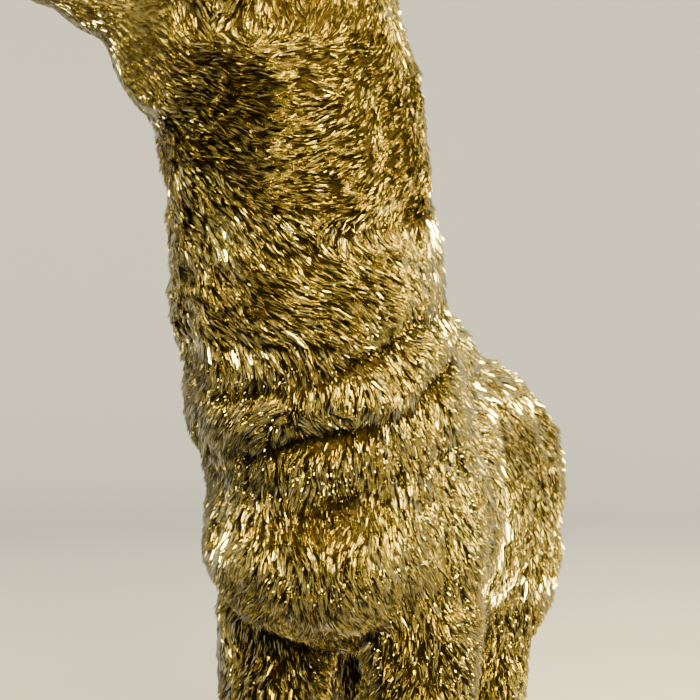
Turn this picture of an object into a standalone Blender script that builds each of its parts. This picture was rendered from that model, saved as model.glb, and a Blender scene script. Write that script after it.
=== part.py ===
# Standing alpaca ornament, cast in one piece with its low plinth and finished in metallic gold.
# Metres, +Z up. The animal faces -Y and its head turns to its right, towards -X.
# The origin is the middle of the plinth's underside.

import math

import bmesh
import bpy
from mathutils import Matrix, Vector, noise

# Driving dimensions, in metres.
FIGURE_HEIGHT = 0.300  # soles to ear tips
PLINTH_THICKNESS = 0.010
PLINTH_MARGIN = 0.012  # from the wool of the outermost legs to the plinth's edge
PLINTH_CORNER_RADIUS = 0.022
PLINTH_EDGE_ROUND = 0.0018
SOLE_SINK = 0.0012  # how deep the feet run into the plinth, so that both are one casting
CLAY_GRID = 0.0015  # grid on which the modelled volumes are merged
TRIANGLES = 9000  # of the figure without its plinth

# The animal is a free form, laid out in 300ths of its own height.
PART = FIGURE_HEIGHT / 300

# Head: the point where the neck's middle line meets it, its turn to the side and its nod.
HEAD_JOINT = Vector((0, -54, 243))
HEAD_TURN = -44
HEAD_NOD = -5

# Legs: how far each stands from the middle plane, where along the body, and its half width.
FORE_LEG = (21, -19.5, 13.7)
HIND_LEG = (18, 39, 13)

# Folds of the fleece on the neck and chest: height at the front of the neck, how much the
# fold climbs towards the back, depth, and the side of the neck that it lies on, in degrees
# from straight ahead towards the animal's left.
FOLDS = (
    (211, 0.25, 0.8, 140),
    (194, 0.30, 0.9, -70),
    (175, 0.35, 1.0, 20),
    (160, 0.40, 1.2, -120),
    (146, 0.45, 1.7, 10),
    (127, 0.60, 1.9, 25),
    (116, 0.80, 1.2, -60),
    (108, 0.55, 1.6, 20),
)
FOLD_HALF_WIDTH = 4.2
FOLD_CLIMB_LEFT = 0.12
FOLD_ARC = 32  # half the arc over which a fold keeps its depth, in degrees

GOLD = (0.62, 0.43, 0.12, 1)


def clear_scene():
    for old in list(bpy.data.objects):
        bpy.data.objects.remove(old)


def add_ball(clay, centre, radii, turn=0):
    """One ellipsoid of clay, turned about the X axis by some degrees."""
    place = (
        Matrix.Translation(centre)
        @ Matrix.Rotation(math.radians(turn), 4, "X")
        @ Matrix.Diagonal((*radii, 1))
    )
    bmesh.ops.create_uvsphere(clay, u_segments=28, v_segments=18, radius=1, matrix=place)


def add_loft(clay, rings):
    """A closed skin through unlike rings that all hold as many points."""
    loops = [[clay.verts.new(point) for point in ring] for ring in rings]
    sides = len(loops[0])
    for lower, upper in zip(loops, loops[1:]):
        for i in range(sides):
            j = (i + 1) % sides
            clay.faces.new((lower[i], lower[j], upper[j], upper[i]))
    clay.faces.new(list(reversed(loops[0])))
    clay.faces.new(loops[-1])


def ring_about(centre, across, up, half_width, half_height, sides=28):
    turns = [2 * math.pi * i / sides for i in range(sides)]
    return [
        centre + across * half_width * math.cos(t) + up * half_height * math.sin(t)
        for t in turns
    ]


def add_spine_loft(clay, stations):
    """A form on the middle plane. Each station is (y, z, half width, half height)."""
    middles = [Vector((0, y, z)) for y, z, _, _ in stations]
    rings = []
    for i, (_, _, wide, high) in enumerate(stations):
        along = middles[min(i + 1, len(middles) - 1)] - middles[max(i - 1, 0)]
        up = along.normalized().cross(Vector((1, 0, 0)))
        rings.append(ring_about(middles[i], Vector((1, 0, 0)), up, wide, high))
    add_loft(clay, rings)


def add_column(clay, stations):
    """An upright form. Each station is (x, y, z, half width, half depth)."""
    across, ahead = Vector((1, 0, 0)), Vector((0, 1, 0))
    add_loft(
        clay,
        [ring_about(Vector((x, y, z)), across, ahead, w, d) for x, y, z, w, d in stations],
    )


def add_torso(clay):
    add_spine_loft(
        clay,
        [
            (-54, 119, 12, 13),
            (-50, 118, 22, 22),
            (-40, 117, 28.5, 29),
            (-26, 117, 35.5, 36),
            (-6, 118, 38, 41.5),
            (14, 118, 39, 42.5),
            (34, 117, 39, 42),
            (50, 116, 37.5, 39.5),
            (63, 115, 32, 34),
            (71, 114, 23, 25),
            (76, 113, 11, 12),
        ],
    )
    for side in (-1, 1):
        add_ball(clay, (side * 19.5, -18, 110), (17, 20, 25))
        add_ball(clay, (side * 19, 42, 98), (18, 24, 31), turn=-10)
    add_ball(clay, (0, 12, 101), (32, 46, 24))


def add_neck(clay):
    add_spine_loft(
        clay,
        [
            (-12, 116, 34.5, 36),
            (-26, 136, 34, 35.5),
            (-36, 153, 33, 34.5),
            (-41.5, 168, 32, 33),
            (-46, 184, 31.2, 32),
            (-50, 202, 30.6, 31.8),
            (-53, 220, 29.4, 31),
            (-54, 236, 25.5, 28),
            (-54, 250, 20, 24),
            (-54, 258, 12, 15),
        ],
    )
    add_ball(clay, (0, -36.5, 111), (28.5, 25, 25))
    add_ball(clay, (0, -12, 153), (31, 25, 17))


def add_leg(clay, place, knee_back, hock_back, top):
    """A woolly leg with its hem above a foot of two toes."""
    x, y, wool = place
    ankle = y + hock_back * 0.7
    add_column(
        clay,
        [
            (x, ankle, 12, wool * 0.60, wool * 0.64),
            (x, ankle, 15, wool * 0.84, wool * 0.88),
            (x, y + hock_back, 24, wool * 0.86, wool * 0.92),
            (x, y + hock_back, 36, wool * 0.80, wool * 0.88),
            (x, y + knee_back, 52, wool * 0.88, wool * 0.98),
            (x, y + knee_back * 0.5, 68, wool * 0.98, wool * 1.06),
            (x, y, top - 12, wool * 0.95, wool * 1.2),
            (x, y, top, wool * 0.7, wool * 0.9),
        ],
    )
    add_column(
        clay,
        [
            (x, ankle - 1, 0, 7.0, 7.0),
            (x, ankle - 1, 6, 6.6, 6.8),
            (x, ankle, 16, 6.6, 6.8),
        ],
    )
    for toe in (-1, 1):
        add_ball(clay, (x + toe * 4.4, ankle - 6.5, 3.6), (4.2, 8.4, 5.4), turn=12)


def add_legs(clay):
    for side in (-1, 1):
        x, y, wool = FORE_LEG
        add_leg(clay, (side * x, y, wool), 0, 0, 104)
        x, y, wool = HIND_LEG
        add_leg(clay, (side * x, y, wool), -2.5, 5, 100)


def add_tail(clay):
    add_ball(clay, (0, 72, 135), (9.5, 10, 9), turn=30)
    add_ball(clay, (0, 78.5, 123), (10, 8.5, 14), turn=8)
    add_ball(clay, (0, 80.5, 108), (7.5, 6.5, 12))


def head_frame():
    """From the head's own axes, its joint at the origin and its face along -Y, to the figure's."""
    return (
        Matrix.Translation(HEAD_JOINT)
        @ Matrix.Rotation(math.radians(HEAD_TURN), 4, "Z")
        @ Matrix.Rotation(math.radians(HEAD_NOD), 4, "X")
    )


def add_muzzle(head):
    add_spine_loft(
        head,
        [
            (-63, -8.5, 3.2, 3.4),
            (-61, -8.3, 6.8, 6.4),
            (-57, -7.8, 9.4, 9.0),
            (-51, -7.2, 10.6, 10.6),
            (-44, -6.2, 11.8, 12.2),
            (-36, -4.8, 13.8, 14.6),
            (-27, -3, 16.4, 17),
            (-18, -1, 18.5, 19),
            (-8, 0, 17, 18),
        ],
    )
    add_ball(head, (0, -54, -13.6), (7.6, 7.2, 4.6))
    add_ball(head, (0, -40, -13), (11, 13, 10))
    for side in (-1, 1):
        add_ball(head, (side * 5.2, -56.5, -4.8), (4.6, 5.4, 4.8))


def add_head(clay):
    head = bmesh.new()
    add_muzzle(head)
    add_ball(head, (0, -6, 4), (22, 25, 21))
    add_ball(head, (0, -17, -20), (20.5, 22.5, 21))
    add_ball(head, (0, -11, 24), (18, 18.5, 13))
    add_ball(head, (0, -26, 19.5), (12.5, 9.5, 9.5), turn=25)
    add_ball(head, (0, 6, 20), (18, 17, 13))
    for side in (-1, 1):
        add_ball(head, (side * 11, -17, -7), (15, 19, 15.5))
        add_ball(head, (side * 13.2, -28, 8.2), (5.6, 7.2, 5))
        add_ball(head, (side * 15.0, -29.5, 4.6), (3.8, 4.8, 4.2))
        add_ball(head, (side * 10.5, -8, 22), (11.5, 13, 11))
        add_ear(head, side)
    bmesh.ops.transform(head, matrix=head_frame(), verts=head.verts)
    joined = bpy.data.meshes.new("head clay")
    head.to_mesh(joined)
    clay.from_mesh(joined)
    head.free()
    bpy.data.meshes.remove(joined)


def add_ear(head, side):
    """A spear-shaped ear that bows outwards."""
    root = Vector((side * 14.5, 2, 17))
    tip = Vector((side * 19, -3, 57))
    across = Vector((1, side * 0.3, 0)).normalized()
    ahead = Vector((0, 0, 1)).cross(across)
    rings = []
    for share, wide, thick in (
        (0.0, 5.6, 4.6),
        (0.3, 7.2, 4.2),
        (0.55, 7.0, 3.7),
        (0.78, 4.9, 3.0),
        (0.93, 2.6, 2.3),
        (1.0, 1.2, 1.2),
    ):
        bow = Vector((side * 3 * math.sin(math.pi * share), 0, 0))
        rings.append(ring_about(root.lerp(tip, share) + bow, across, ahead, wide, thick))
    add_loft(head, rings)


def merged_clay():
    """All the volumes of the animal merged into one smooth skin, as a mesh in metres."""
    clay = bmesh.new()
    add_torso(clay)
    add_neck(clay)
    add_legs(clay)
    add_tail(clay)
    add_head(clay)
    bmesh.ops.recalc_face_normals(clay, faces=clay.faces)
    bmesh.ops.scale(clay, vec=(PART, PART, PART), verts=clay.verts)
    lumps = bpy.data.meshes.new("clay")
    clay.to_mesh(lumps)
    clay.free()
    helper = bpy.data.objects.new("clay", lumps)
    bpy.context.scene.collection.objects.link(helper)
    skin = helper.modifiers.new("merge", "REMESH")
    skin.mode = "VOXEL"
    skin.voxel_size = CLAY_GRID
    blend = helper.modifiers.new("blend", "SMOOTH")
    blend.factor = 0.5
    blend.iterations = 7
    return baked(helper)


def baked(helper):
    """The helper's mesh with its modifiers in it. The helper is removed."""
    bpy.context.view_layer.update()
    graph = bpy.context.evaluated_depsgraph_get()
    mesh = bpy.data.meshes.new_from_object(helper.evaluated_get(graph))
    bpy.data.objects.remove(helper)
    return mesh


def ease(low, high, value):
    share = min(1.0, max(0.0, (value - low) / (high - low)))
    return share * share * (3 - 2 * share)


def fold_depth(place):
    """How deep the fleece's folds run at a place, all in 300ths of the height."""
    warp = noise.noise(place * 0.030) * 5 + noise.noise(place * 0.075 + Vector((5, 1, 3))) * 3
    facing = math.degrees(math.atan2(place.x, -place.y - 10))
    depth = 0
    for front_height, climb, full_depth, side in FOLDS:
        level = front_height + climb * (place.y + 70) + FOLD_CLIMB_LEFT * place.x
        across = (place.z + warp - level) / FOLD_HALF_WIDTH
        turned = abs((facing - side + 180) % 360 - 180)
        along = 1 - ease(FOLD_ARC, 2 * FOLD_ARC, turned)
        depth += full_depth * along * math.exp(-across * across)
    broken = 0.75 + 1.2 * noise.noise(place * 0.045 + Vector((3, 8, 1)))
    return depth * min(1, max(0, broken))


def clump_height(place):
    """Height of the fleece's soft tufts, drawn out along the fall of the wool."""
    fall = Vector((place.x * 0.11, place.y * 0.11, place.z * 0.055))
    fine = Vector((place.x * 0.24, place.y * 0.24, place.z * 0.12))
    return noise.noise(fall + Vector((11, 7, 2))) * 1.9 + noise.noise(fine) * 0.9


def fleece_amount(place):
    """1 on the fleece, 0 on the face, ears and feet."""
    feet = ease(14, 24, place.z)
    head = head_frame().inverted() @ place
    near = head.length < 75
    face = ease(-36, -20, head.y) if near and head.z > -28 else 1
    ears = 1 - ease(27, 33, head.z) if near else 1
    return feet * face * ears


def carve_fleece(mesh):
    moves = []
    for vertex in mesh.vertices:
        place = vertex.co / PART
        rise = clump_height(place) - fold_depth(place)
        moves.append(vertex.normal * rise * fleece_amount(place) * PART)
    for vertex, move in zip(mesh.vertices, moves):
        vertex.co += move


def thinned(mesh):
    """The figure's skin with no more triangles than its form needs."""
    helper = bpy.data.objects.new("thinning", mesh)
    bpy.context.scene.collection.objects.link(helper)
    mesh.calc_loop_triangles()
    thin = helper.modifiers.new("thin", "DECIMATE")
    thin.ratio = TRIANGLES / len(mesh.loop_triangles)
    return baked(helper)


def plinth_mesh(figure):
    """A low slab with round corners under all four legs, and the middle of its length."""
    legs = [v.co for v in figure.vertices if v.co.z < 0.1 * FIGURE_HEIGHT]
    half_x = max(abs(p.x) for p in legs) + PLINTH_MARGIN
    front_y = min(p.y for p in legs) - PLINTH_MARGIN
    back_y = max(p.y for p in legs) + PLINTH_MARGIN
    slab = bmesh.new()
    size = Matrix.Diagonal((2 * half_x, back_y - front_y, PLINTH_THICKNESS, 1))
    bmesh.ops.create_cube(slab, size=1, matrix=size)
    uprights = [e for e in slab.edges if e.verts[0].co.z * e.verts[1].co.z < 0]
    bmesh.ops.bevel(
        slab,
        geom=uprights,
        offset=PLINTH_CORNER_RADIUS,
        segments=8,
        profile=0.5,
        affect="EDGES",
    )
    bmesh.ops.translate(slab, vec=(0, 0, PLINTH_THICKNESS / 2), verts=slab.verts)
    mesh = bpy.data.meshes.new("plinth")
    slab.to_mesh(mesh)
    slab.free()
    return mesh, (front_y + back_y) / 2


def gold_material():
    gold = bpy.data.materials.new("metallic_gold")
    gold.use_nodes = True
    shader = gold.node_tree.nodes["Principled BSDF"]
    shader.inputs["Base Color"].default_value = GOLD
    shader.inputs["Metallic"].default_value = 1.0
    shader.inputs["Roughness"].default_value = 0.32
    return gold


def add_figure(shown, helpers):
    """The casting: the carved figure joined to its plinth."""
    mesh = merged_clay()
    carve_fleece(mesh)
    mesh = thinned(mesh)
    slab_mesh, slab_middle = plinth_mesh(mesh)
    slab = bpy.data.objects.new("plinth_slab", slab_mesh)
    helpers.objects.link(slab)
    slab.hide_render = True
    slab.display_type = "WIRE"
    round_edges = slab.modifiers.new("round edges", "BEVEL")
    round_edges.width = PLINTH_EDGE_ROUND
    round_edges.segments = 3
    mesh.transform(Matrix.Translation((0, -slab_middle, PLINTH_THICKNESS - SOLE_SINK)))
    mesh.materials.clear()
    mesh.materials.append(gold_material())
    figure = bpy.data.objects.new("alpaca_figure", mesh)
    shown.objects.link(figure)
    cast = figure.modifiers.new("cast with the plinth", "BOOLEAN")
    cast.operation = "UNION"
    cast.object = slab


def main():
    clear_scene()
    shown = bpy.data.collections.new("alpaca_ornament")
    helpers = bpy.data.collections.new("alpaca_ornament_helpers")
    bpy.context.scene.collection.children.link(shown)
    bpy.context.scene.collection.children.link(helpers)
    add_figure(shown, helpers)


main()
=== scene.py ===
# Looks of the gold alpaca ornament: a skin that keeps the casting's form, and the carved
# strands of its fleece as pointed slivers of metal on it. Metres, +Z up, front along -Y.

import math

import bmesh
import bpy
import numpy as np
from mathutils import Matrix, Vector, kdtree, noise


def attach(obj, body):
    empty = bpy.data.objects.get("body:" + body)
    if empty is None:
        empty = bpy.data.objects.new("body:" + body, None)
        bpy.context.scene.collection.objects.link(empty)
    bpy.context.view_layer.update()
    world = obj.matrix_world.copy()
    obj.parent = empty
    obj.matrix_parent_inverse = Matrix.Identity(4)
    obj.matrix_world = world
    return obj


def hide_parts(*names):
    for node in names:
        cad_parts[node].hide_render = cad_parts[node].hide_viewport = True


# The figure is laid out in millimetres above its soles, around its own middle.
MM = 0.001
SOLES = Vector((0, -11.3, 8.8))  # the figure's zero in the row frame, in millimetres

# Head: the point where the neck's middle line meets it, its turn to the side and its nod.
HEAD_JOINT = Vector((0, -54, 243))
HEAD_TURN = -44
HEAD_NOD = -5
HEAD_REACH = 76  # what lies nearer to the joint than this belongs to the head

# Where one kind of coat gives way to the next: heights above the soles, and on the head
# places in its own axes, where the nose points along -Y.
FEET_TOP = (13.5, 15.5)
LEG_TOP = (84, 98)
NOSE_BACK = (-58.5, -56)
MUZZLE_BACK = (-36, -24)
EAR_BASE = (33, 38)
EYE_SOCKET = (1.25, 1.45)  # in shares of the eye's own half size
LEG_SHORTNESS = 0.3  # of the way from the body's hair to the face's

# Skin under the strands.
SKIN_GRID = 1.3
SKIN_SMOOTHINGS = 5
SKIN_SMOOTHING = 0.6
SKIN_INSET = 0.6  # below the solid's surface, so that the strands stand up to its outline
SMOOTHED_FROM = (10.5, 13.0)  # above the underside, just over the plinth's top
INNER_LEG_WOOL = 2.0  # extra wool between the legs of each pair
FINE_GRID_NOSE = -48  # in front of here, and near the eyes, the grid is cut finer
FINE_GRID_EYES = 1.7
FINE_GRID_CUTS = 2

# Strands: how many, and the length and width of one on the body, in millimetres.
STRANDS = 201000
STRAND_SEED = 7
STRANDS_FROM = 13  # height above the soles of the lowest ones
STRANDS_IN_A_TUFT = 8
TUFT_PULL = 0.4  # share of the way that a strand's tip moves to its tuft's
TUFT_REACH = 2.2
STRAND_LENGTH = 3.4
STRAND_WIDTH = 0.42
STRAND_THICKNESS = 0.34
STRAND_CREST = 0.22  # share of the length at which a strand is thickest
ROOT_DEPTH = 0.5
FACE_LENGTH = 1.9
FOLD_SHORTENING = 0.3  # share of its length that a strand loses in a full fold

# Extra strands for each unit of area, on top of 1.
FACE_DENSITY = 2.2
LEG_DENSITY = 0.5
FRONT_DENSITY = 0.85

# Face, in the head's own axes: middle of the left eye and half its length and height.
EYE = (17, -30, 4.6)
EYE_LENGTH = 4.6
EYE_HEIGHT = 3.2
EYEBALL_RISE = 0.7
EYE_RIM_DEPTH = 0.7
EYELID_RISE = 0.8
NOSTRIL_LOW = (3.6, -62, -6.4)
NOSTRIL_HIGH = (7.6, -58, -3.0)
NOSTRIL_DEPTH = 1.7
NOSTRIL_RIM = 0.5
MOUTH_HEIGHT = -10.8  # at the front of the lips
MOUTH_FRONT = -62
MOUTH_CLIMB = 0.15
MOUTH_DEPTH = 1.1
LIP_SPLIT_DEPTH = 0.8
EAR_ROOT = (14.5, 2, 17)
EAR_TIP = (19, -3, 57)
EAR_BULGE = 3  # sideways, halfway up
EAR_HOLLOW = 2.2

# Lie of the wool: where the two sides' wool meets, in degrees from straight ahead to the
# animal's left, and the whorl on the chest, by its side, height, and reach.
PARTING = 25
WHORL_FACING = 19
WHORL_HEIGHT = 142.5
WHORL_RADIUS = 34
WHORL_REACH = 12
STRAIGHT_DOWN = 90  # angle in the skin's plane, where 0 points to the animal's left

# Folds of the fleece: height at the front of the neck, climb towards the back, depth, and
# the side of the neck that it lies on, in degrees from straight ahead to the animal's left.
FOLDS = (
    (211, 0.25, 0.8, 140),
    (194, 0.30, 0.9, -70),
    (175, 0.35, 1.0, 20),
    (160, 0.40, 1.2, -120),
    (146, 0.45, 1.7, 10),
    (127, 0.60, 1.9, 25),
    (116, 0.80, 1.2, -60),
    (108, 0.55, 1.6, 20),
)
FULL_FOLD = 1.6  # depth that counts as a full fold
FOLD_HALF_WIDTH = 2.6
FOLD_FRONT = -70  # depth of the figure at which a fold's height is given
FOLD_CLIMB_LEFT = 0.12
FOLD_ARC = 32
FOLD_EXTRA_DEPTH = 1.1

# Pieces of the fleece: heights and depths between one part of the animal and the next.
HEAD_WOOL_FROM = 214
NECK_WOOL_FROM = 152
LEG_WOOL_UP_TO = 86
CHEST_BACK = -12
FORELEG_BACK = 10

# Direction that the photo looks from, in degrees from the front to the animal's left, and
# the distance, height and side step of the place that it aims at, in millimetres.
PHOTO_AZIMUTH = 23.3
PHOTO_DISTANCE = 388
PHOTO_HEIGHT = 164.3
PHOTO_ASIDE = -11.2
PHOTO_LENS = 73.6

# Golds: the strands' tips from deep to bright, painted shade at their roots, and the smooth parts.
GOLD_BRIGHT = (0.98, 0.92, 0.60, 1)
GOLD_DEEP = (0.88, 0.79, 0.48, 1)
GOLD_ROOT_SHADE = (0.04, 0.024, 0.007, 1)
GOLD_SMOOTH = (0.80, 0.71, 0.34, 1)
GOLD_WORN = (0.67, 0.58, 0.26, 1)
GOLD_PAINTED_SHADE = (0.016, 0.011, 0.005, 1)  # painted shade on the skin under the wool and in the face's hollows
STRAND_ROUGHNESS = 0.13
SKIN_ROUGHNESS = (0.34, 0.5)  # bare, and under the wool

# Where the painted shade at a strand's root is full and where it is gone, from 0 at the root to 1.
ROOT_SHADE_FULL_UP_TO = 0.05
ROOT_SHADE_GONE_FROM = 0.5

# Lamps: place in metres, width in metres, power in watts.
LAMPS = (
    ("window", (0.95, 0.1, 0.6), 0.40, 38),
    ("front", (0.55, -0.9, 0.7), 0.36, 36),
    ("front_top", (0.35, -0.45, 0.62), 0.28, 26),
    ("left", (-0.9, -0.25, 0.45), 0.15, 2),
    ("behind", (0.5, 0.8, 0.6), 0.3, 5),
)
LAMP_AIM = (0, 0, 0.15)
LAMP_COLOUR = (1, 0.82, 0.22)

# Surrounding light: the side that it comes from, its colour from the far side to that one.
SOFT_SIDE = (0.75, 0.2, 0.6)
SOFT_LIGHT = (
    (0.0, (0.07, 0.07, 0.07)),
    (0.45, (0.27, 0.27, 0.29)),
    (0.72, (0.33, 0.31, 0.25)),
    (1.0, (0.28, 0.22, 0.10)),
)
SOFT_STRENGTH = 1.5

# Studio, in metres.
FLOOR_RADIUS = 1.0
SWEEP_RADIUS = 0.5
WALL_TOP = 2.6
PAPER = (0.46, 0.48, 0.80, 1)
PAPER_ROUGHNESS = 0.9


def head_frame():
    """From the head's own axes to the figure's."""
    return (
        Matrix.Translation(HEAD_JOINT)
        @ Matrix.Rotation(math.radians(HEAD_TURN), 4, "Z")
        @ Matrix.Rotation(math.radians(HEAD_NOD), 4, "X")
    )


def to_head(points):
    """Points of the figure in the head's own axes."""
    turn = np.array(head_frame().inverted())
    return points @ turn[:3, :3].T + turn[:3, 3]


def near_head(head):
    """Whether each point, in the head's own axes, belongs to the head."""
    return np.linalg.norm(head, axis=1) < HEAD_REACH


def ease(low, high, values):
    """A smooth step from 0 at the low value to 1 at the high one."""
    share = np.clip((values - low) / (high - low), 0, 1)
    return share * share * (3 - 2 * share)


def bump_at(values, middle, half_width):
    """A smooth ridge, 1 in its middle."""
    return np.exp(-(((values - middle) / half_width) ** 2))


def noise_at(points, size, seed):
    """Smooth noise from -1 to 1 at each point, with features of about that size."""
    offset = Vector((seed * 13.7, seed * 5.3, seed * 9.1))
    return np.array([noise.noise(Vector(p) / size + offset) for p in points.tolist()])


def noise_from(points, fineness, offset):
    """Smooth noise from -1 to 1 at each point, by features for each millimetre."""
    start = Vector(offset)
    return np.array([noise.noise(Vector(p) * fineness + start) for p in points.tolist()])


def unit(vectors):
    return vectors / np.maximum(np.linalg.norm(vectors, axis=1, keepdims=True), 1e-9)


def in_plane(vectors, normals):
    """Unit directions along the skin, from directions that may leave it."""
    return unit(vectors - normals * np.sum(vectors * normals, axis=1, keepdims=True))


def bare_parts(points):
    """1 on the plinth and feet, 0 on the fleece."""
    return 1 - ease(*FEET_TOP, points[:, 2])


def face_share(points):
    """1 on the muzzle and ears, where the hair is short, 0 on the fleece."""
    head = to_head(points)
    muzzle = 1 - ease(*MUZZLE_BACK, head[:, 1])
    ears = ease(*EAR_BASE, head[:, 2])
    return near_head(head) * np.maximum(muzzle, ears)


def short_share(points):
    """1 where the hair is shortest, part of the way there on the legs."""
    legs = LEG_SHORTNESS * (1 - ease(*LEG_TOP, points[:, 2]))
    return np.maximum(face_share(points), legs)


def bare_nose(points):
    """1 on the nose, lips and eyes, which carry no hair."""
    head = to_head(points)
    nose = 1 - ease(*NOSE_BACK, head[:, 1])
    eyes = 1 - ease(*EYE_SOCKET, eye_distance(head))
    return near_head(head) * np.maximum(nose, eyes)


def inner_leg_share(points, normals):
    """1 on the upper legs where they face the other leg of their pair."""
    inward = ease(0.1, 0.6, -np.sign(points[:, 0]) * normals[:, 0])
    return inward * ease(34, 50, points[:, 2]) * (1 - ease(84, 96, points[:, 2]))


def flank_share(points, normals):
    """1 on the animal's sides, where the wool lies forwards and down, 0 elsewhere."""
    facing = np.degrees(np.arctan2(np.abs(normals[:, 0]), -normals[:, 1]))
    side = ease(30, 60, facing) * (1 - ease(110, 140, facing))
    trunk = ease(*LEG_TOP, points[:, 2]) * (1 - ease(130, 150, points[:, 2]))
    return side * trunk * ease(-14, 2, points[:, 1])


def eye_distance(head):
    """Distance from the nearer eye's middle, 1 on the rim of its almond shape."""
    along = (head[:, 1] - EYE[1]) / EYE_LENGTH
    pointed = EYE_HEIGHT * (1 - 0.3 * np.clip(along * along, 0, 1.5))
    over = (head[:, 2] - EYE[2]) / pointed
    aside = np.abs(head[:, 0]) > 10
    return np.where(aside, np.hypot(along, over), 9)


def line_distance(points, start, end):
    """Distance of each point from the line between two places."""
    start, end = np.array(start), np.array(end)
    run = end - start
    share = np.clip((points - start) @ run / (run @ run), 0, 1)
    return np.linalg.norm(points - start - share[:, None] * run, axis=1)


def eye_relief(head):
    """Height of the eyeballs, of the groove round each and of the lids."""
    eye = eye_distance(head)
    relief = EYEBALL_RISE * np.clip(1 - eye * eye, 0, 1)
    relief -= EYE_RIM_DEPTH * bump_at(eye, 1.06, 0.13)
    upper = 1 + 0.3 * np.sign(head[:, 2] - EYE[2])
    return relief + EYELID_RISE * bump_at(eye, 1.34, 0.17) * upper


def ear_cup(mirrored, facing):
    """Shares of the ears' hollow: by its place on the ear, and by how much it faces forwards."""
    height = mirrored[:, 2]
    share = np.clip((height - EAR_ROOT[2]) / (EAR_TIP[2] - EAR_ROOT[2]), 0, 1)
    middle = EAR_ROOT[0] + (EAR_TIP[0] - EAR_ROOT[0]) * share + EAR_BULGE * np.sin(math.pi * share)
    across = (mirrored[:, 0] - middle) / (5.2 - 2.2 * share)
    cup = np.clip(1 - across * across, 0, 1) * ease(26, 32, height) * (1 - ease(48, 54, height))
    return cup, ease(0.1, 0.5, -facing[:, 1])


def face_relief(head, facing):
    """Height of the eyes, nostrils, lips and hollow ears, from points and normals."""
    mirrored = np.abs(head * (1, 0, 0)) + head * (0, 1, 1)
    relief = eye_relief(head)
    slit = line_distance(mirrored, NOSTRIL_LOW, NOSTRIL_HIGH)
    relief -= NOSTRIL_DEPTH * bump_at(slit, 0, 0.95)
    relief += NOSTRIL_RIM * bump_at(slit, 2.0, 0.7)
    muzzle = 1 - ease(-49, -44, head[:, 1])
    line = MOUTH_HEIGHT + MOUTH_CLIMB * (head[:, 1] - MOUTH_FRONT)
    relief -= MOUTH_DEPTH * bump_at(head[:, 2], line, 0.6) * muzzle
    lip = (1 - ease(-58, -54, head[:, 1])) * (1 - ease(-7, -6, head[:, 2]))
    split = bump_at(head[:, 0], 0, 0.6)
    relief -= LIP_SPLIT_DEPTH * split * lip * ease(-11.5, -10.5, head[:, 2])
    cup, forwards = ear_cup(mirrored, facing)
    return relief - EAR_HOLLOW * cup * forwards


def fold_depth(points):
    """How deep the fleece's folds run at each point, about 1 in a full fold."""
    warp = noise_at(points, 33.3, 0) * 5
    warp += noise_from(points, 0.075, (5, 1, 3)) * 3
    facing = np.degrees(np.arctan2(points[:, 0], -points[:, 1] - 10))
    depth = np.zeros(len(points))
    for front_height, climb, full_depth, side in FOLDS:
        level = front_height + climb * (points[:, 1] - FOLD_FRONT) + FOLD_CLIMB_LEFT * points[:, 0]
        across = (points[:, 2] + warp - level) / FOLD_HALF_WIDTH
        turned = np.abs((facing - side + 180) % 360 - 180)
        held = 1 - ease(FOLD_ARC, 2 * FOLD_ARC, turned)
        depth += full_depth / FULL_FOLD * held * np.exp(-across * across)
    broken = noise_from(points, 0.045, (3, 8, 1))
    return depth * np.clip(0.75 + 1.2 * broken, 0, 1)


def skin_object(node):
    """The casting's own form on a fine even grid, a little below the tips of the strands."""
    mesh = node.data.copy()
    skin = bpy.data.objects.new("casting_skin", mesh)
    bpy.context.scene.collection.objects.link(skin)
    welded = bmesh.new()
    welded.from_mesh(mesh)
    bmesh.ops.remove_doubles(welded, verts=welded.verts, dist=0.00001)
    welded.to_mesh(mesh)
    welded.free()
    grid = skin.modifiers.new("even grid", "REMESH")
    grid.mode = "VOXEL"
    grid.voxel_size = SKIN_GRID * MM
    bpy.context.view_layer.update()
    graph = bpy.context.evaluated_depsgraph_get()
    skin.data = bpy.data.meshes.new_from_object(skin.evaluated_get(graph))
    skin.modifiers.clear()
    soften(skin.data)
    refine_face(skin.data)
    sink(skin.data)
    return skin


def mesh_arrays(mesh):
    """Places in millimetres and normals of a mesh's corners."""
    count = len(mesh.vertices)
    places = np.empty(count * 3)
    mesh.vertices.foreach_get("co", places)
    normals = np.empty(count * 3)
    mesh.vertices.foreach_get("normal", normals)
    return places.reshape(-1, 3) / MM, normals.reshape(-1, 3)


def soften(mesh):
    """Smooths the facets of the figure and leaves the plinth as it is."""
    places, _ = mesh_arrays(mesh)
    edges = np.empty(len(mesh.edges) * 2, int)
    mesh.edges.foreach_get("vertices", edges)
    edges = edges.reshape(-1, 2)
    ends = np.concatenate([edges, edges[:, ::-1]])
    degree = np.bincount(ends[:, 0], minlength=len(places))[:, None]
    free = ease(*SMOOTHED_FROM, places[:, 2])[:, None]
    for _ in range(SKIN_SMOOTHINGS):
        total = np.stack(
            [np.bincount(ends[:, 0], places[ends[:, 1], k], len(places)) for k in range(3)], 1
        )
        places += free * SKIN_SMOOTHING * (total / degree - places)
    mesh.vertices.foreach_set("co", (places * MM).ravel())
    mesh.update()


def refine_face(mesh):
    """A finer grid around the eyes, nose and lips."""
    places, _ = mesh_arrays(mesh)
    head = to_head(places - np.array(SOLES))
    detailed = (head[:, 1] < FINE_GRID_NOSE) | (eye_distance(head) < FINE_GRID_EYES)
    fine = near_head(head) & detailed
    grid = bmesh.new()
    grid.from_mesh(mesh)
    edges = [e for e in grid.edges if fine[e.verts[0].index] and fine[e.verts[1].index]]
    bmesh.ops.subdivide_edges(grid, edges=edges, cuts=FINE_GRID_CUTS, use_grid_fill=True)
    grid.to_mesh(mesh)
    grid.free()


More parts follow.
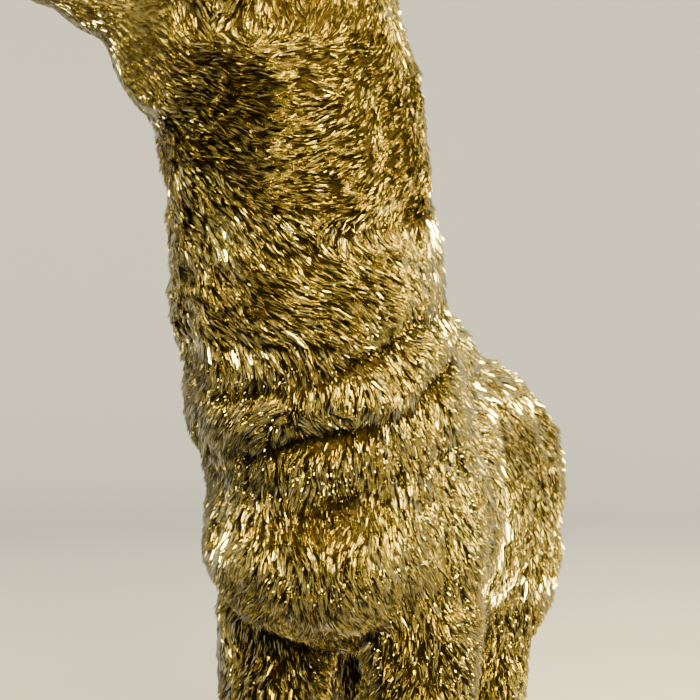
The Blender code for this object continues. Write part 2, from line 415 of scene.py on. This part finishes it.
def sink(mesh):
    """Lowers the skin under the wool, opens the folds, models the face, and marks where shade is
    painted on it.
    """
    places, normals = mesh_arrays(mesh)
    figure = places - np.array(SOLES)
    covered = 1 - np.maximum(bare_parts(figure), bare_nose(figure))
    inset = SKIN_INSET * (1 - 0.7 * face_share(figure)) * covered
    inset += FOLD_EXTRA_DEPTH * fold_depth(figure)
    inset -= INNER_LEG_WOOL * inner_leg_share(figure, normals)
    head = to_head(figure)
    turned = normals @ np.array(head_frame())[:3, :3]
    relief = face_relief(head, turned) * near_head(head)
    places -= normals * (inset - relief)[:, None]
    mesh.vertices.foreach_set("co", (places * MM).ravel())
    # Painted shade: the skin darkens where the wool covers it and in the recesses of the face.
    painted_shade = covered * (1 - 0.35 * face_share(figure))
    painted_shade = np.maximum(painted_shade, np.clip(-0.8 * relief, 0, 0.95))
    shaded = mesh.attributes.new("painted_shade_mask", "FLOAT", "POINT")
    shaded.data.foreach_set("value", painted_shade.astype(np.float32))
    mesh.shade_smooth()
    mesh.update()


def strand_density(points):
    """Strands for each unit of area: most on the face and ears, many on the neck and chest."""
    height = points[:, 2]
    trunk = ease(*LEG_TOP, height)
    legs = 1 - trunk
    front = (1 - ease(-16, -4, points[:, 1])) * trunk * (1 - ease(236, 246, height))
    face = face_share(points)
    return 1 + FACE_DENSITY * face + LEG_DENSITY * legs + FRONT_DENSITY * front * (1 - face)


def sow(mesh, count, random):
    """Random roots spread over the skin: places and normals, in millimetres."""
    mesh.calc_loop_triangles()
    corners = np.empty(len(mesh.loop_triangles) * 3, int)
    mesh.loop_triangles.foreach_get("vertices", corners)
    corners = corners.reshape(-1, 3)
    places, normals = mesh_arrays(mesh)
    a, b, c = (places[corners[:, k]] for k in range(3))
    areas = np.linalg.norm(np.cross(b - a, c - a), axis=1) / 2
    middles = (a + b + c) / 3 - np.array(SOLES)
    weight = areas * strand_density(middles) * (middles[:, 2] > STRANDS_FROM)
    chosen = random.choice(len(corners), count, p=weight / weight.sum())
    u, v = random.random(count), random.random(count)
    over = u + v > 1
    u[over], v[over] = 1 - u[over], 1 - v[over]
    mix = [(1 - u - v)[:, None], u[:, None], v[:, None]]
    roots = sum(m * places[corners[chosen, k]] for k, m in enumerate(mix))
    leans = unit(sum(m * normals[corners[chosen, k]] for k, m in enumerate(mix)))
    return roots - np.array(SOLES), leans


def lie_angle(points, facing):
    """Angle of the wool in the skin's plane, in degrees.

    From the throat down it hangs from the parting, swags aside, slants, then fans out on the
    chest, where the whorl is.
    """
    aside = (facing - PARTING + 180) % 360 - 180
    height = points[:, 2] + noise_at(points, 18, 3) * 6
    throat = STRAIGHT_DOWN + 30 * np.tanh((aside + noise_at(points, 20, 8) * 14) / 16)
    lean = np.clip(84 - 0.5 * np.abs(aside), 20, 84)
    swag = STRAIGHT_DOWN + lean * np.sign(aside + noise_at(points, 12, 9) * 30)
    slant = 38 + 30 * ease(35, 70, aside) + 52 * ease(60, 110, -aside)
    fan = noise_at(points, 14, 4) * 42
    spreading = np.clip(0.55 * (aside + 12), -38, 40) * (1 - ease(110, 150, np.abs(aside)))
    fall = STRAIGHT_DOWN - spreading + fan
    angle = swag + (throat - swag) * ease(218, 228, height)
    angle = slant + (angle - slant) * ease(175, 190, height)
    angle = fall + (angle - fall) * ease(155, 160, height)
    arc = (facing - WHORL_FACING) * WHORL_RADIUS * math.pi / 180
    drop = WHORL_HEIGHT - points[:, 2]
    spread = np.degrees(np.arctan2(np.maximum(drop, 0.4), arc))
    near = np.exp(-(arc * arc + drop * drop) / WHORL_REACH ** 2) * ease(-3, 1, drop)
    return angle + (spread - angle) * near


def head_flow(points):
    """How far the head's own lie holds, and that lie.

    It runs back along the muzzle, up the ears, and down all round from the crown.
    """
    head = to_head(points)
    muzzle = (1 - ease(*MUZZLE_BACK, head[:, 1]))[:, None]
    ears = ease(31, 36, head[:, 2])[:, None]
    flow = unit(head - (0, 8, 42))
    flow = flow + (np.array((0, 0.95, 0.1)) - flow) * muzzle
    flow = flow + (np.array((0, 0, 1.0)) - flow) * ears
    share = near_head(head) * np.maximum(muzzle[:, 0], ease(-10, 2, head[:, 2]))
    return share, flow @ np.array(head_frame())[:3, :3].T


def combed(points, normals, random):
    """The way the wool lies at each tuft, along the skin, and how far it stands off."""
    count = len(points)
    up = np.array((0.0, 0.0, 1.0))
    around = unit(np.cross(up, normals) + 1e-6)
    facing = np.degrees(np.arctan2(normals[:, 0], -normals[:, 1]))
    on_neck = 1 - ease(-8, 12, points[:, 1] - (points[:, 2] - 150) * 0.1)
    angle = STRAIGHT_DOWN + (lie_angle(points, facing) - STRAIGHT_DOWN) * on_neck
    wander = noise_at(points, 22, 1) * 20 + noise_at(points, 7, 2) * 20
    angle = np.radians(angle + wander + random.normal(0, 7, count))
    fall = np.cos(angle)[:, None] * around - np.sin(angle)[:, None] * up
    flank = flank_share(points, normals)
    push = 0.45 * (1 - on_neck) * (1 - flank) - flank
    lie = in_plane(fall + np.array((0.0, 1.0, 0.0)) * push[:, None], normals)
    share, flow = head_flow(points)
    flow = flow + np.stack([noise_at(points, 9, seed) * 0.4 for seed in (11, 12, 13)], 1)
    flow = in_plane(flow, normals)
    lie = unit(lie + (flow - lie) * share[:, None])
    stand = 13 + 14 * flank + noise_at(points, 7, 5) * 9 + random.normal(0, 4, count)
    return lie, np.radians(np.clip(stand, 6, 50))


def nearest_tuft(roots, heads):
    """For each root, the number of the tuft whose head is nearest."""
    tree = kdtree.KDTree(len(heads))
    for i, k in enumerate(heads.tolist()):
        tree.insert(Vector(roots[k]), i)
    tree.balance()
    return np.array([tree.find(p)[1] for p in roots.tolist()])


def strand_sizes(short, valley, tuft, tufts, random):
    """Length, width and thickness of every strand. Those of one tuft are about as long."""
    count = len(tuft)
    length = STRAND_LENGTH * (1 - short) + FACE_LENGTH * short
    length = length * random.uniform(0.8, 1.25, (tufts, 1))[tuft]
    length = length * random.uniform(0.8, 1.2, (count, 1))
    length = length * (1 - FOLD_SHORTENING * valley)
    width = STRAND_WIDTH * (1 - 0.4 * short) * random.uniform(0.7, 1.3, (count, 1))
    thick = STRAND_THICKNESS * (1 - 0.4 * short) * random.uniform(0.7, 1.3, (count, 1))
    return length, width, thick


def strand_tips(roots, way, length, heads, tuft):
    """Tip of every strand, drawn towards its tuft's."""
    tips = roots + way * length
    lead = tips[heads][tuft]
    gap = np.linalg.norm(roots - roots[heads][tuft], axis=1)[:, None]
    return tips + (lead - tips) * TUFT_PULL * (1 - ease(TUFT_REACH * 0.5, TUFT_REACH, gap))


def strand_corners(roots, normals, tips, sizes, roll):
    """Corners of every strand: two at its root, one on its crest, and its tip."""
    length, width, thick = sizes
    along = unit(tips - roots)
    side = unit(np.cross(along, normals))
    crest = unit(np.cross(side, along))
    turned_side = side * np.cos(roll) + crest * np.sin(roll)
    turned_crest = crest * np.cos(roll) - side * np.sin(roll)
    foot = roots - normals * ROOT_DEPTH - along * 0.3
    return np.stack(
        [
            foot + turned_side * width / 2,
            foot - turned_side * width / 2,
            roots + along * length * STRAND_CREST + turned_crest * thick,
            tips,
        ],
        axis=1,
    )


def strand_arrays(skin):
    """Root, corners and tint of every strand, and how much of its light the painted shade in the
    folds leaves.
    """
    random = np.random.default_rng(STRAND_SEED)
    roots, normals = sow(skin.data, STRANDS, random)
    keep = (bare_parts(roots) < 0.5) & (bare_nose(roots) < 0.5)
    roots, normals = roots[keep], normals[keep]
    count = len(roots)
    heads = random.choice(count, count // STRANDS_IN_A_TUFT, replace=False)
    tufts = len(heads)
    tuft = nearest_tuft(roots, heads)
    head_lie, head_stand = combed(roots[heads], normals[heads], random)
    lie = in_plane(head_lie[tuft] + random.normal(0, 0.07, (count, 3)), normals)
    stand = head_stand[tuft] + random.normal(0, 0.09, count)
    short = short_share(roots)[:, None]
    valley = np.clip(fold_depth(roots), 0, 1.2)[:, None]
    sizes = strand_sizes(short, valley, tuft, tufts, random)
    rise = np.sin(stand)[:, None] * (1 - 0.45 * short)
    way = np.sqrt(1 - rise * rise) * lie + rise * normals
    tips = strand_tips(roots, way, sizes[0], heads, tuft)
    roll = random.normal(0, 12, (tufts, 1))[tuft] + random.normal(0, 30, (count, 1))
    corners = strand_corners(roots, normals, tips, sizes, np.radians(roll))
    shade = 0.5 + 0.25 * noise_at(roots[heads], 16, 6) + random.normal(0, 0.12, tufts)
    shade = np.clip(shade[tuft] + random.normal(0, 0.12, count), 0.03, 0.97)
    # Painted shade in the folds: a strand in a valley gets lower UV heights and so more of the
    # dark root colour.
    return roots, corners, shade, 1 - 0.6 * np.clip(valley[:, 0], 0, 1)


def strand_object(name, corners, shade, light):
    """One closed three-sided spike for each strand, with its tint and its painted shade, at the
    root and in the folds, kept as UV.
    """
    count = len(corners)
    faces = np.array([(0, 1, 3), (0, 3, 2), (1, 2, 3), (0, 2, 1)])
    loops = (np.arange(count)[:, None, None] * 4 + faces[None]).reshape(-1)
    places = (corners.reshape(-1, 3) + np.array(SOLES)) * MM
    mesh = bpy.data.meshes.new(name)
    mesh.vertices.add(len(places))
    mesh.vertices.foreach_set("co", places.ravel())
    mesh.loops.add(len(loops))
    mesh.loops.foreach_set("vertex_index", loops.astype(np.int32))
    mesh.polygons.add(len(loops) // 3)
    mesh.polygons.foreach_set("loop_start", np.arange(0, len(loops), 3, dtype=np.int32))
    spread = np.array([-0.012, 0.012, 0.0, 0.0])
    # Heights of the corners along the strand, kept as UV: near 0 at the root, where the material
    # paints shade.
    rise = np.array([0.02, 0.02, 0.34, 0.98])
    across = np.clip(shade[:, None] + spread[None], 0, 1)
    # The UV height, lowered in the folds' valleys, which paints shade there.
    flat = np.stack([across, rise[None] * light[:, None]], axis=2).reshape(-1, 2)
    layer = mesh.uv_layers.new(name="OFBake")
    layer.data.foreach_set("uv", flat[loops].ravel())
    mesh.update(calc_edges=True)
    mesh.shade_flat()
    piece = bpy.data.objects.new(name, mesh)
    bpy.context.scene.collection.objects.link(piece)
    return piece


def node_maker(owner):
    """The node tree of a material or world, and a function that adds a node to it."""
    tree = owner.node_tree

    def make(kind, **settings):
        node = tree.nodes.new(kind)
        for key, value in settings.items():
            setattr(node, key, value)
        return node

    return tree, make


def strand_gold():
    """Gold that differs a little on each strand, darkened towards the root and in the folds by
    painted shade.
    """
    material = bpy.data.materials.new("gold_strands")
    material.use_nodes = True
    tree, make = node_maker(material)
    shader = tree.nodes["Principled BSDF"]
    place = make("ShaderNodeUVMap", uv_map="OFBake")
    parts = make("ShaderNodeSeparateXYZ")
    tree.links.new(place.outputs["UV"], parts.inputs["Vector"])
    tint = make("ShaderNodeMix", data_type="RGBA")
    tint.inputs["A"].default_value = GOLD_DEEP
    tint.inputs["B"].default_value = GOLD_BRIGHT
    tree.links.new(parts.outputs["X"], tint.inputs["Factor"])
    # Painted shade: the strand darkens to the root colour towards its root.
    root = make("ShaderNodeMapRange")
    root.inputs["From Min"].default_value = ROOT_SHADE_FULL_UP_TO
    root.inputs["From Max"].default_value = ROOT_SHADE_GONE_FROM
    tree.links.new(parts.outputs["Y"], root.inputs["Value"])
    colour = make("ShaderNodeMix", data_type="RGBA")
    colour.inputs["A"].default_value = GOLD_ROOT_SHADE
    tree.links.new(root.outputs["Result"], colour.inputs["Factor"])
    tree.links.new(tint.outputs["Result"], colour.inputs["B"])
    tree.links.new(colour.outputs["Result"], shader.inputs["Base Color"])
    shader.inputs["Metallic"].default_value = 1.0
    shader.inputs["Roughness"].default_value = STRAND_ROUGHNESS
    return material


def skin_gold():
    """The smooth parts: worn gold with a fine cast grain, and painted shade under the wool and in
    the face's hollows.
    """
    material = bpy.data.materials.new("gold_skin")
    material.use_nodes = True
    tree, make = node_maker(material)
    shader = tree.nodes["Principled BSDF"]
    place = make("ShaderNodeTexCoord")
    patch = make("ShaderNodeTexNoise")
    patch.inputs["Scale"].default_value = 90
    patch.inputs["Detail"].default_value = 4
    tree.links.new(place.outputs["Object"], patch.inputs["Vector"])
    colour = make("ShaderNodeMix", data_type="RGBA")
    colour.inputs["A"].default_value = GOLD_WORN
    colour.inputs["B"].default_value = GOLD_SMOOTH
    tree.links.new(patch.outputs["Fac"], colour.inputs["Factor"])
    # Painted shade: dark under the wool and in the face's hollows; the same mask also sets the
    # roughness.
    wool = make("ShaderNodeAttribute", attribute_name="painted_shade_mask")
    hollow = make("ShaderNodeMix", data_type="RGBA")
    hollow.inputs["B"].default_value = GOLD_PAINTED_SHADE
    tree.links.new(wool.outputs["Fac"], hollow.inputs["Factor"])
    tree.links.new(colour.outputs["Result"], hollow.inputs["A"])
    tree.links.new(hollow.outputs["Result"], shader.inputs["Base Color"])
    grain = make("ShaderNodeTexNoise")
    grain.inputs["Scale"].default_value = 700
    tree.links.new(place.outputs["Object"], grain.inputs["Vector"])
    bump = make("ShaderNodeBump")
    bump.inputs["Strength"].default_value = 0.6
    bump.inputs["Distance"].default_value = 0.0006
    tree.links.new(grain.outputs["Fac"], bump.inputs["Height"])
    tree.links.new(bump.outputs["Normal"], shader.inputs["Normal"])
    rough = make("ShaderNodeMapRange")
    rough.inputs["To Min"].default_value = SKIN_ROUGHNESS[0]
    rough.inputs["To Max"].default_value = SKIN_ROUGHNESS[1]
    tree.links.new(wool.outputs["Fac"], rough.inputs["Value"])
    tree.links.new(rough.outputs["Result"], shader.inputs["Roughness"])
    shader.inputs["Metallic"].default_value = 1.0
    return material


def fleece_pieces(skin):
    """The strands, as one piece for each part of the animal."""
    roots, corners, shade, light = strand_arrays(skin)
    gold = strand_gold()
    height, along, aside = roots[:, 2], roots[:, 1], roots[:, 0]
    trunk = (height <= NECK_WOOL_FROM) & (height > LEG_WOOL_UP_TO)
    regions = {
        "fleece_head": height > HEAD_WOOL_FROM,
        "fleece_neck": (height <= HEAD_WOOL_FROM) & (height > NECK_WOOL_FROM),
        "fleece_chest": trunk & (along < CHEST_BACK),
        "fleece_left_side": trunk & (along >= CHEST_BACK) & (aside >= 0),
        "fleece_right_side": trunk & (along >= CHEST_BACK) & (aside < 0),
        "fleece_forelegs": (height <= LEG_WOOL_UP_TO) & (along < FORELEG_BACK),
        "fleece_hind_legs": (height <= LEG_WOOL_UP_TO) & (along >= FORELEG_BACK),
    }
    pieces = []
    for name, here in regions.items():
        piece = strand_object(name, corners[here], shade[here], light[here])
        piece.data.materials.append(gold)
        pieces.append(piece)
    return pieces


def add_light(name, place, size, power):
    data = bpy.data.lights.new(name, "AREA")
    data.shape = "DISK"
    data.size = size
    data.energy = power
    data.color = LAMP_COLOUR
    lamp = bpy.data.objects.new(name, data)
    bpy.context.scene.collection.objects.link(lamp)
    lamp.location = place
    lamp.rotation_euler = (Vector(LAMP_AIM) - Vector(place)).to_track_quat("-Z", "Y").to_euler()


def studio_mesh():
    """A round floor that sweeps up into a wall."""
    bowl = bmesh.new()
    profile = [(0.001, 0), (FLOOR_RADIUS, 0)]
    profile += [
        (FLOOR_RADIUS + SWEEP_RADIUS * math.sin(t), SWEEP_RADIUS - SWEEP_RADIUS * math.cos(t))
        for t in np.linspace(0, math.pi / 2, 12)[1:]
    ]
    profile += [(FLOOR_RADIUS + SWEEP_RADIUS, WALL_TOP)]
    line = [bowl.verts.new((r, 0, z)) for r, z in profile]
    edges = [bowl.edges.new(pair) for pair in zip(line, line[1:])]
    bmesh.ops.spin(
        bowl, geom=line + edges, cent=(0, 0, 0), axis=(0, 0, 1), angle=2 * math.pi, steps=64
    )
    bmesh.ops.remove_doubles(bowl, verts=bowl.verts, dist=0.0001)
    mesh = bpy.data.meshes.new("studio")
    bowl.to_mesh(mesh)
    bowl.free()
    mesh.shade_smooth()
    return mesh


def add_studio():
    """The pale studio, which the gold doesn't mirror."""
    mesh = studio_mesh()
    studio = bpy.data.objects.new("studio", mesh)
    bpy.context.scene.collection.objects.link(studio)
    studio.visible_glossy = False
    studio.visible_shadow = False
    paper = bpy.data.materials.new("pale_paper")
    paper.use_nodes = True
    shader = paper.node_tree.nodes["Principled BSDF"]
    shader.inputs["Base Color"].default_value = PAPER
    shader.inputs["Roughness"].default_value = PAPER_ROUGHNESS
    mesh.materials.append(paper)


def add_world():
    """Soft light from one side and above, and a dim surrounding that leaves the hollows dark."""
    world = bpy.data.worlds.new("studio_light")
    world.use_nodes = True
    tree, make = node_maker(world)
    back = tree.nodes["Background"]
    place = make("ShaderNodeTexCoord")
    toward = make("ShaderNodeVectorMath", operation="DOT_PRODUCT")
    toward.inputs[1].default_value = Vector(SOFT_SIDE).normalized()
    tree.links.new(place.outputs["Generated"], toward.inputs[0])
    share = make("ShaderNodeMapRange")
    share.inputs["From Min"].default_value = -1
    tree.links.new(toward.outputs["Value"], share.inputs["Value"])
    ramp = make("ShaderNodeValToRGB")
    while len(ramp.color_ramp.elements) < len(SOFT_LIGHT):
        ramp.color_ramp.elements.new(0.5)
    for element, (position, colour) in zip(ramp.color_ramp.elements, SOFT_LIGHT):
        element.position = position
        element.color = (*colour, 1)
    tree.links.new(share.outputs["Result"], ramp.inputs["Fac"])
    tree.links.new(ramp.outputs["Color"], back.inputs["Color"])
    back.inputs["Strength"].default_value = SOFT_STRENGTH
    bpy.context.scene.world = world


def add_camera():
    turn = math.radians(PHOTO_AZIMUTH)
    right = Vector((math.cos(turn), math.sin(turn), 0))
    toward = Vector((math.sin(turn), -math.cos(turn), 0))
    aim = (right * PHOTO_ASIDE + Vector((0, 0, PHOTO_HEIGHT))) * MM
    data = bpy.data.cameras.new("photo_camera")
    data.lens = PHOTO_LENS
    data.clip_start = 0.01
    camera = bpy.data.objects.new("photo_camera", data)
    bpy.context.scene.collection.objects.link(camera)
    camera.location = aim + toward * PHOTO_DISTANCE * MM
    camera.rotation_euler = (aim - camera.location).to_track_quat("-Z", "Y").to_euler()
    bpy.context.scene.camera = camera


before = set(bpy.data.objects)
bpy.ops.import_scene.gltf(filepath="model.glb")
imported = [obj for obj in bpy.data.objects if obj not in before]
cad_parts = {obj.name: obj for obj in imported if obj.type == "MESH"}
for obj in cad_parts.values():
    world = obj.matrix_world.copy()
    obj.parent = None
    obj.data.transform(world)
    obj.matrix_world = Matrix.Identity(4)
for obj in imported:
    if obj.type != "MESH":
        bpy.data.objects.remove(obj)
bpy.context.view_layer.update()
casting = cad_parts["alpaca_figure"]
skin = skin_object(casting)
skin.data.materials.clear()
skin.data.materials.append(skin_gold())
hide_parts("alpaca_figure")
for piece in [skin] + fleece_pieces(skin):
    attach(piece, "root")
add_studio()
add_world()
for lamp in LAMPS:
    add_light(*lamp)
add_camera()
